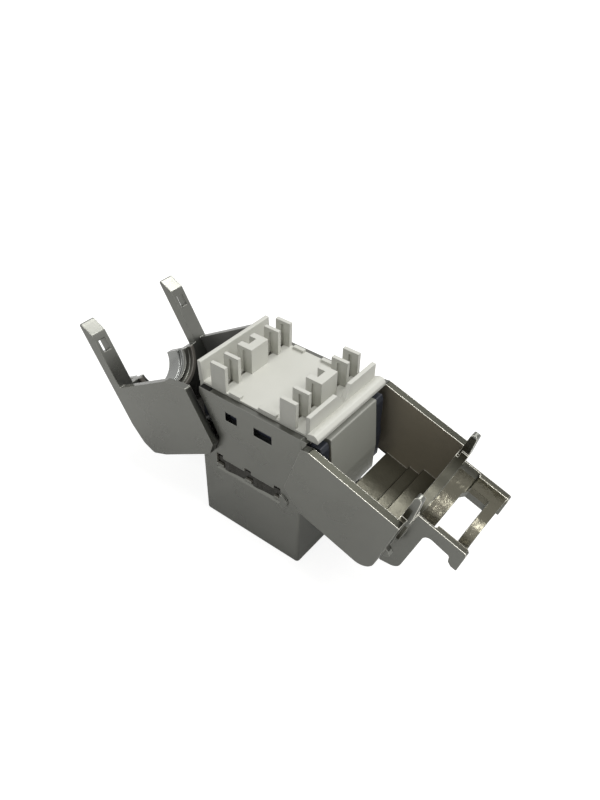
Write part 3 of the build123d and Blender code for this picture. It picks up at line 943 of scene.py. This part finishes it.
@dataclass
class CarrierCheeks:
    """Dark cheeks of the blade carrier, beside the cover panel."""

    finishes: Finishes
    inner: float = 4.95 * MM
    outer: float = 6.5 * MM
    edge: float = 0.12 * MM
    outline: Outline = (
        (9.30, 10.4), (9.95, 10.4), (10.45, 11.2), (10.62, 15.0),
        (10.45, 16.2), (10.45, 20.2), (10.2, 20.9), (9.30, 20.9),
    )

    def build(self) -> list[Piece]:
        """Make the two cheeks in one piece.

        Returns:
            The piece, in a list.
        """
        finish = self.finishes.dark
        piece = mirrored_slabs("carrier_cheeks", self.outline, self.inner, self.outer, finish)
        round_edges(piece, self.edge)
        return [seat(piece, Body.SHELL, Slot.DARK)]


@dataclass
class PlateCorners:
    """Corners of the shell's side plates, up to the heels of the tie wing."""

    finishes: Finishes
    inner: float = 6.62 * MM
    outer: float = 7.34 * MM
    outline: Outline = ((7.90, 19.4), (8.27, 19.4), (8.90, 21.3), (8.90, 21.69), (7.90, 21.69))

    def build(self) -> list[Piece]:
        """Make the two corners in one piece.

        Returns:
            The piece, in a list.
        """
        finish = self.finishes.shell
        piece = mirrored_slabs("side_plate_corners", self.outline, self.inner, self.outer, finish)
        return [seat(piece, Body.SHELL, Slot.CASTING)]


@dataclass
class ThumbRibs:
    """Row of ribs on the latch's wedge, for the thumb."""

    finishes: Finishes
    count: int = 4
    foot: Point = (9.72 * MM, 0.0, 4.66 * MM)
    head: Point = (10.52 * MM, 0.0, 5.84 * MM)
    length: float = 3.6 * MM
    radius: float = 0.13 * MM
    sides: int = 12

    def build(self) -> list[Piece]:
        """Make the ribs on the latch.

        Returns:
            The piece, in a list.
        """
        tree = GeometryTree("thumb_ribs")
        count = tree.size("Count", self.count)
        foot = tree.size("Foot", self.foot)
        head = tree.size("Head", self.head)
        length = tree.size("Length", self.length)
        radius = tree.size("Radius", self.radius)
        row = tree.add("MeshLine", Count=count, Start_Location=foot, Offset=head)
        row.mode = "END_POINTS"
        rib = tree.add("MeshCylinder", Vertices=self.sides, Radius=radius, Depth=length)
        lying = (math.radians(90), 0.0, 0.0)
        laid = tree.add("Transform", Geometry=rib.outputs["Mesh"], Rotation=lying)
        start = bpy.data.meshes.new("latch_thumb_ribs_start")
        piece = tree.bake("latch_thumb_ribs", start, tree.instances(row, laid), self.finishes.dark)
        return [seat(piece, Body.LATCH, Slot.DARK)]


@dataclass
class PortContacts:
    """Eight bent strips that follow one path from the board into the port."""

    finishes: Finishes
    count: int = 8
    pitch: float = 1.02 * MM
    width: float = 0.46 * MM
    thickness: float = 0.32 * MM
    bend: float = 0.35 * MM
    path: Outline = ((-4.4, 16.6), (-4.4, 3.2), (-3.9, 2.7), (-3.4, 3.1), (-1.75, 9.3), (-2.3, 10.6))

    def build(self) -> list[Piece]:
        """Make the contacts in place of the plain ones.

        Returns:
            The piece, in a list.
        """
        tree = GeometryTree("port_contacts")
        count = tree.size("Count", self.count)
        pitch = tree.size("Pitch", (0.0, self.pitch, 0.0))
        first = tree.size("First", (0.0, -self.pitch * (self.count - 1) / 2, 0.0))
        width = tree.size("Width", self.width)
        thickness = tree.size("Thickness", self.thickness)
        bend = tree.size("Bend", self.bend)
        curve = tree.add("MeshToCurve", Mesh=tree.source.outputs["Geometry"])
        bent = tree.add("FilletCurve", Curve=curve.outputs[0], Radius=bend)
        section = tree.add("CurvePrimitiveQuadrilateral", Width=thickness, Height=width)
        strip = tree.add("CurveToMesh", Curve=bent.outputs[0], Profile_Curve=section.outputs[0])
        tree.fill(strip, Fill_Caps=True)
        row = tree.add("MeshLine", Count=count, Start_Location=first, Offset=pitch)
        start = bpy.data.meshes.new("contact_path")
        edges = [(i, i + 1) for i in range(len(self.path) - 1)]
        start.from_pydata([(x * MM, 0.0, z * MM) for x, z in self.path], edges, [])
        piece = tree.bake("port_contact_set", start, tree.instances(row, strip), self.finishes.contact)
        nodes = (f"port_contact_{number}" for number in range(1, self.count + 1))
        return [seat(piece, Body.SHELL, Slot.CONTACT, *nodes)]


@dataclass
class Electrics:
    """Board, ground springs and blades, which keep their CAD meshes."""

    finishes: Finishes
    blades: int = 8

    def build(self) -> list[Piece]:
        """Dress the board, springs and blades.

        Returns:
            The nodes' objects.
        """
        board = dress("circuit_board", self.finishes.board)
        springs = [dress(f"ground_spring_{side}", self.finishes.strip) for side in ("near", "far")]
        blades = [dress(f"blade_{number}", self.finishes.blade) for number in range(1, self.blades + 1)]
        return [board, *springs, *blades]


@dataclass(frozen=True)
class Lamp:
    """Square lamp: its name, its place, the length of its sides, and its power in watts."""

    name: str
    place: Point
    size: float
    power: float


@dataclass
class Studio:
    """Floor, lamps, world and camera, in metres and degrees, with the lens in millimetres."""

    camera_at: Point = (0.045029, -0.057039, 0.077959)
    azimuth: float = 36.82
    elevation: float = 39.12
    roll: float = 1.32
    lens: float = 33.318
    sensor: float = 36.0
    near_clip: float = 1.0 * MM
    floor_size: float = 4.0
    floor_roughness: float = 0.9
    floor_bounce: Point = (0.32, 0.32, 0.31)
    floor_mirrored: Point = (0.88, 0.88, 0.87)
    floor_glow: Span = (0.86, 0.12)
    world_level: float = 0.36
    world_colour: Point = (1.0, 1.0, 1.0)
    lamps_aim: Point = (0.0, 0.0, 0.018)
    lamps: tuple[Lamp, ...] = (
        Lamp("key_lamp", (0.22, 0.04, 0.34), 0.16, 0.84),
        Lamp("back_lamp", (0.030, 0.237, 0.362), 0.12, 0.62),
        Lamp("fill_lamp", (-0.25, -0.30, 0.30), 0.30, 0.05),
        Lamp("edge_lamp", (-0.02, -0.33, 0.32), 0.07, 0.22),
    )

    def build(self) -> None:
        """Make the studio."""
        self.make_floor()
        self.make_world()
        for lamp in self.lamps:
            self.make_lamp(lamp)
        self.make_camera()
        bpy.context.scene.view_settings.view_transform = "Standard"

    def make_floor(self) -> None:
        """Pale floor that shows as white and keeps a faint shadow."""
        half = self.floor_size / 2
        mesh = bpy.data.meshes.new("floor")
        corners = [(-half, -half, 0), (half, -half, 0), (half, half, 0), (-half, half, 0)]
        mesh.from_pydata(corners, [], [(0, 1, 2, 3)])
        floor = add_object("floor", mesh)
        mesh.materials.append(self.floor_paper())

    def floor_paper(self) -> Material:
        """Material of the floor, which glows where it is seen and not where it lights the jack.

        Returns:
            The material.
        """
        graph = NodeGraph("floor_paper")
        glossy = graph.add("LightPath").outputs["Is Glossy Ray"]
        colour = graph.mix(glossy, self.floor_bounce, self.floor_mirrored)
        graph.fill(graph.shader, Base_Color=colour, Roughness=self.floor_roughness)
        paper = graph.shader.outputs[0]
        glow = graph.add("Emission", Strength=graph.ramp(glossy, (0.0, 1.0), self.floor_glow))
        glowing = graph.add("AddShader")
        graph.feed(glowing.inputs[0], paper)
        graph.feed(glowing.inputs[1], glow.outputs[0])
        shown = graph.add("MixShader")
        choice = (graph.backdrop_share(), paper, glowing.outputs[0])
        for target, source in zip(shown.inputs, choice, strict=True):
            graph.feed(target, source)
        graph.fill(graph.output, Surface=shown.outputs[0])
        return graph.material

    def make_world(self) -> None:
        """World that shows as white and lights the jack at a plain level."""
        world = bpy.data.worlds.new("studio_world")
        bpy.context.scene.world = world
        world.use_nodes = True
        tree = ShaderTree(world.node_tree)
        level = tree.ramp(tree.backdrop_share(), (0.0, 1.0), (self.world_level, 1.0))
        tree.fill(world.node_tree.nodes["Background"], Color=self.world_colour, Strength=level)

    def make_lamp(self, lamp: Lamp) -> None:
        """Square lamp that points at the jack.

        Args:
            lamp: its sizes.
        """
        light = bpy.data.lights.new(lamp.name, "AREA")
        light.size = lamp.size
        light.energy = lamp.power
        holder = add_object(lamp.name, light)
        holder.location = lamp.place
        aim = Vector(self.lamps_aim) - Vector(lamp.place)
        holder.rotation_euler = aim.to_track_quat("-Z", "Y").to_euler()

    def make_camera(self) -> None:
        """Camera at the photograph's angle."""
        azimuth, elevation, roll = (math.radians(v) for v in (self.azimuth, self.elevation, self.roll))
        level = math.cos(elevation)
        right = Vector((math.cos(azimuth), math.sin(azimuth), 0.0))
        ahead = Vector((-math.sin(azimuth) * level, math.cos(azimuth) * level, -math.sin(elevation)))
        up = right.cross(ahead)
        side = math.cos(roll) * right + math.sin(roll) * up
        top = math.cos(roll) * up - math.sin(roll) * right
        lens = bpy.data.cameras.new("camera")
        lens.sensor_fit = "VERTICAL"
        lens.sensor_height = self.sensor
        lens.lens = self.lens
        lens.clip_start = self.near_clip
        camera = add_object("camera", lens)
        turn = Matrix((side, top, -ahead)).transposed().to_4x4()
        camera.matrix_world = Matrix.Translation(self.camera_at) @ turn
        bpy.context.scene.camera = camera


def main() -> None:
    """Build the finishes, the pieces and the studio."""
    logging.basicConfig(level=logging.INFO, format="%(message)s")
    finishes = make_finishes()
    parts = (Castings, Mouldings, CarrierCheeks, PlateCorners, ThumbRibs, Electrics, PortContacts)
    for part in parts:
        for piece in part(finishes).build():
            LOG.info("%s: %s", part.__name__, piece.name)
    Studio().build()


if __name__ == "__main__":
    main()
